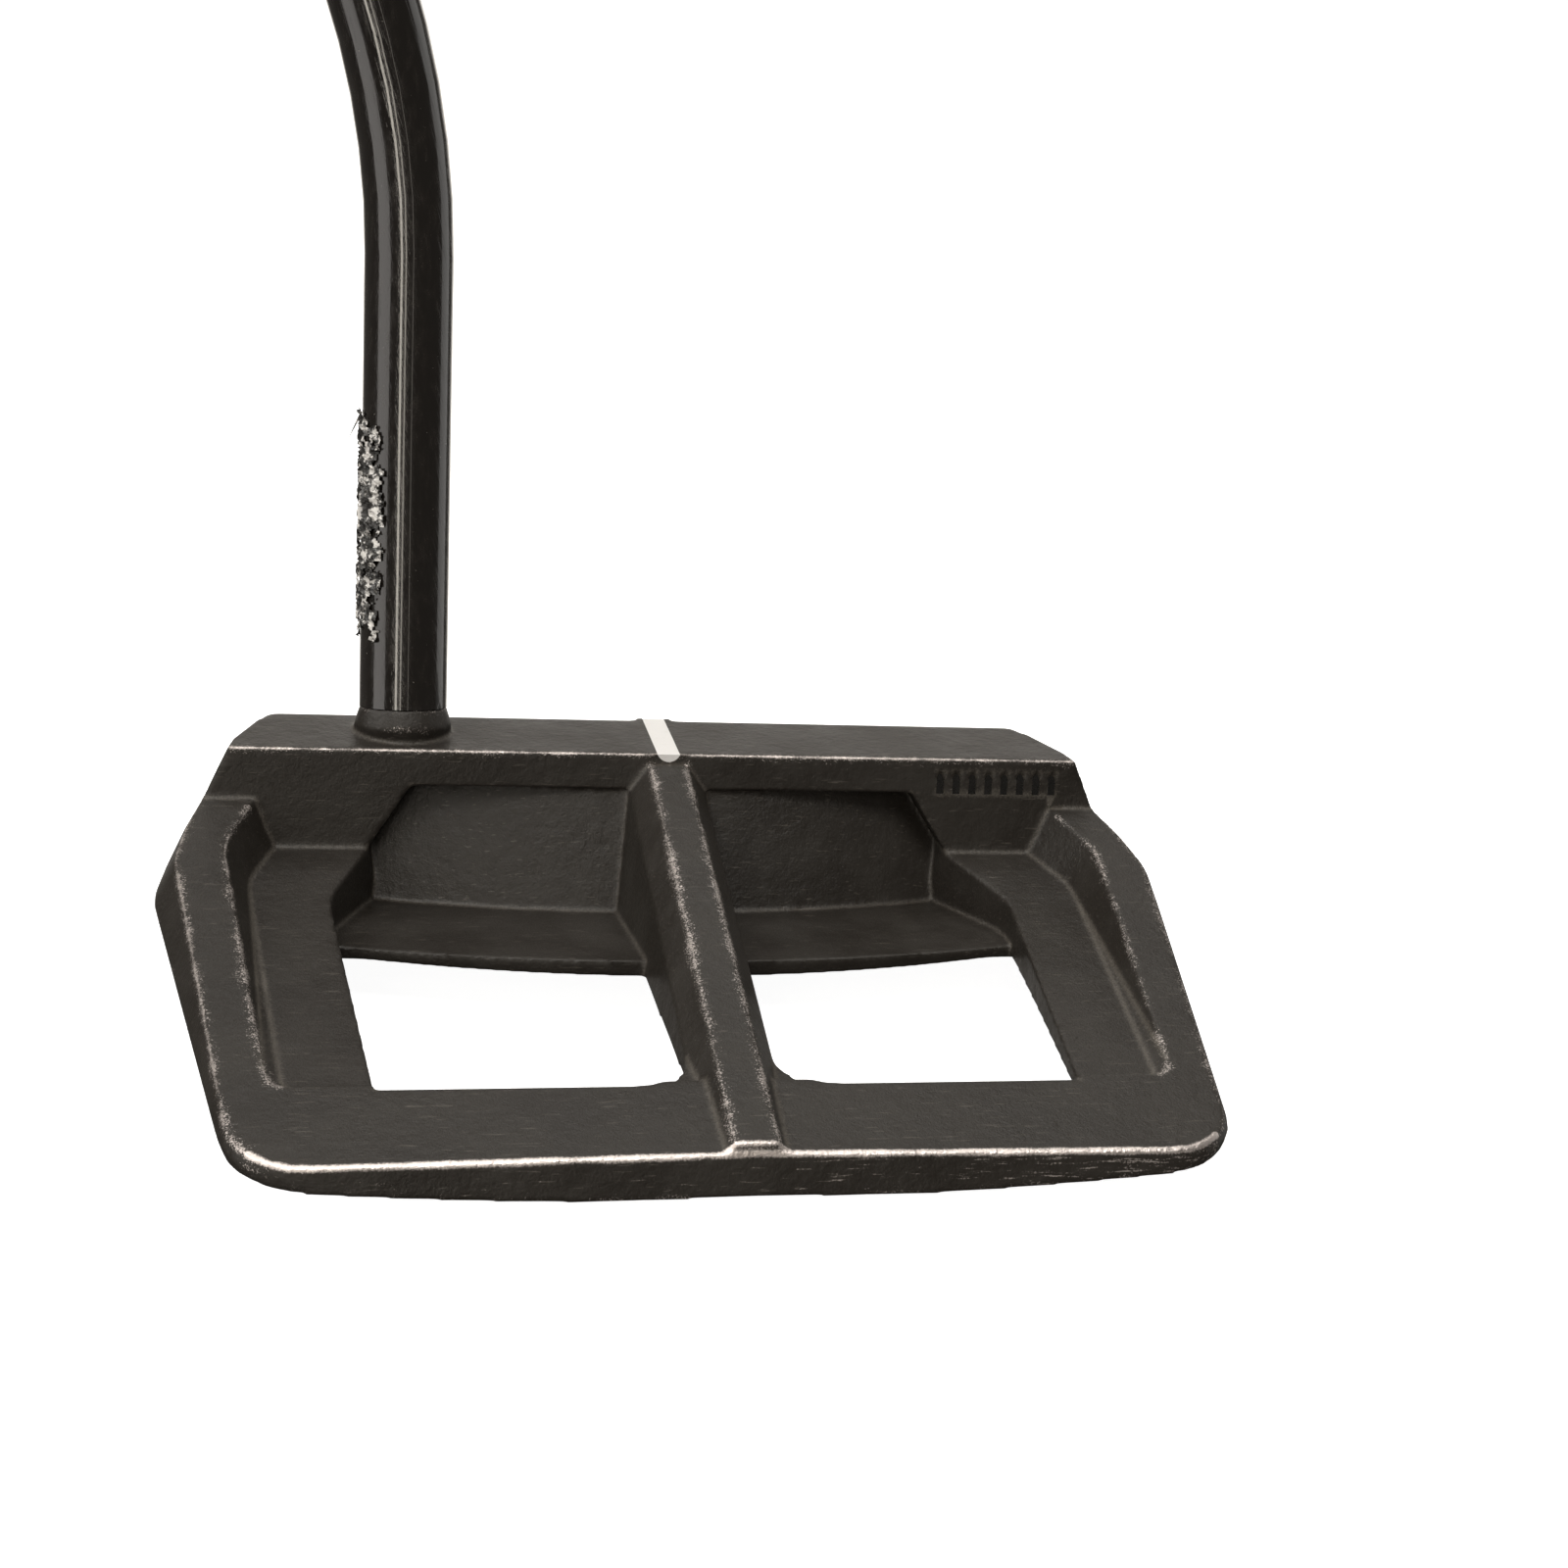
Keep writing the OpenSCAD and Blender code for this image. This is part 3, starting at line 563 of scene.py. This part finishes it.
# ---- Studio ----------------------------------------------------------------
# A pale floor that rolls up into a round wall, soft light from a bright far
# side, and tall narrow lamps that draw streaks down the shaft.

floor_r = 6.0                # metres
wall_steps = ((0.5, 0.12), (0.4, 0.4), (0.12, 0.6), (0.0, 4.0))      # outwards, upwards
floor_drop = 0.3 * mm        # a hair under the sole, so that the two don't touch

floor = bmesh.new()
bmesh.ops.create_circle(floor, cap_ends=True, segments=96, radius=floor_r)
rim = list(floor.edges)
for outwards, upwards in wall_steps:
    grown = bmesh.ops.extrude_edge_only(floor, edges=rim)["geom"]
    rim = [g for g in grown if isinstance(g, bmesh.types.BMEdge)]
    for v in {v for e in rim for v in e.verts}:
        away = Vector((v.co.x, v.co.y, 0)).normalized()
        v.co += away * outwards + Vector((0, 0, upwards))
bmesh.ops.translate(floor, verts=floor.verts, vec=(0, 0, -floor_drop))
paper = Shader("white_paper", roughness=0.9)
paper.set("Base Color", (0.9, 0.9, 0.9, 1))
paper.set("Emission Color", (1, 1, 1, 1))
paper.set("Emission Strength", 0.95)
paper_mesh = bpy.data.meshes.new("studio_floor")
for f in floor.faces:
    f.smooth = True
floor.to_mesh(paper_mesh)
floor.free()
paper_mesh.materials.append(paper.material)
studio_floor = bpy.data.objects.new("studio_floor", paper_mesh)
bpy.context.scene.collection.objects.link(studio_floor)
studio_floor.visible_glossy = False
studio_floor.visible_diffuse = False

# Warm light comes from the far side, and the rest of the room is dim
room_dim = (0.065, 0.060, 0.054, 1)
far_warm = (1.0, 0.95, 0.88, 1)
world = bpy.data.worlds.new("studio_light")
world.use_nodes = True
bpy.context.scene.world = world
tree = world.node_tree
sky = tree.nodes["Background"]
coords = tree.nodes.new("ShaderNodeTexCoord")
toward = tree.nodes.new("ShaderNodeVectorMath")
toward.operation = "DOT_PRODUCT"
toward.inputs[1].default_value = Vector((0.12, 0.99, 0)).normalized()
tree.links.new(coords.outputs["Generated"], toward.inputs[0])
glow = tree.nodes.new("ShaderNodeValToRGB")
tree.links.new(toward.outputs["Value"], glow.inputs["Fac"])
tree.links.new(glow.outputs["Color"], sky.inputs["Color"])
glow.color_ramp.interpolation = "EASE"
stops = glow.color_ramp.elements
stops[0].position, stops[0].color = 0.80, room_dim
stops[1].position, stops[1].color = 0.98, far_warm
sky.inputs["Strength"].default_value = 1.25


def lamp(name, place, size, power, aim=(0, 0, 0.05), tint=(1, 0.97, 0.92)):
    """A soft lamp of that size in metres, aimed at a point on the club."""
    light = bpy.data.lights.new(name, "AREA")
    light.shape = "RECTANGLE"
    light.size, light.size_y = size
    light.energy = power
    light.color = tint
    made = bpy.data.objects.new(name, light)
    made.location = place
    made.rotation_euler = (Vector(aim) - Vector(place)).to_track_quat("-Z", "Y").to_euler()
    bpy.context.scene.collection.objects.link(made)


lamp("overhead", (0.0, 0.5, 1.6), (1.8, 1.0), 11.5)
lamp("behind_player", (-0.2, -0.75, 1.45), (1.6, 0.7), 14)
lamp("left_high", (-1.3, 0.1, 0.9), (0.8, 0.8), 6)
lamp("left_window", (-1.40, -0.52, 0.15), (0.9, 1.6), 5, tint=(1, 0.96, 0.92))
lamp("right_card", (1.35, 0.45, 0.2), (0.8, 1.4), 2, tint=(1, 0.98, 0.95))
strip_tint = (1, 0.93, 0.82)
lamp("left_strip", (-0.59, -1.38, 0.30), (0.14, 1.4), 3.4, tint=strip_tint)
lamp("middle_strip", (-0.30, -1.47, 0.30), (0.09, 1.4), 1.3, tint=strip_tint)
lamp("right_strip", (0.21, -1.48, 0.30), (0.04, 1.4), 0.25, tint=strip_tint)

# The camera stands behind the head and a little to its heel side, as a player
# would hold the club up to look at its rear.
camera_place = (-39.8 * mm, -226.2 * mm, 100.7 * mm)
yaw, dip, roll = (math.radians(a) for a in (13.13, 19.57, 5.29))
look = Vector((math.sin(yaw) * math.cos(dip), math.cos(yaw) * math.cos(dip), -math.sin(dip)))
level = Vector((math.cos(yaw), -math.sin(yaw), 0))
over = level.cross(look)
right = math.cos(roll) * level + math.sin(roll) * over
up = math.cos(roll) * over - math.sin(roll) * level
lens = bpy.data.cameras.new("camera")
lens.sensor_width = 36       # millimetres, as is the focal length
lens.lens = 51.75
camera = bpy.data.objects.new("camera", lens)
camera.matrix_world = (Matrix.Translation(camera_place)
                       @ Matrix((right, up, -look)).transposed().to_4x4())
bpy.context.scene.collection.objects.link(camera)
bpy.context.scene.camera = camera
bpy.context.scene.view_settings.view_transform = "Standard"
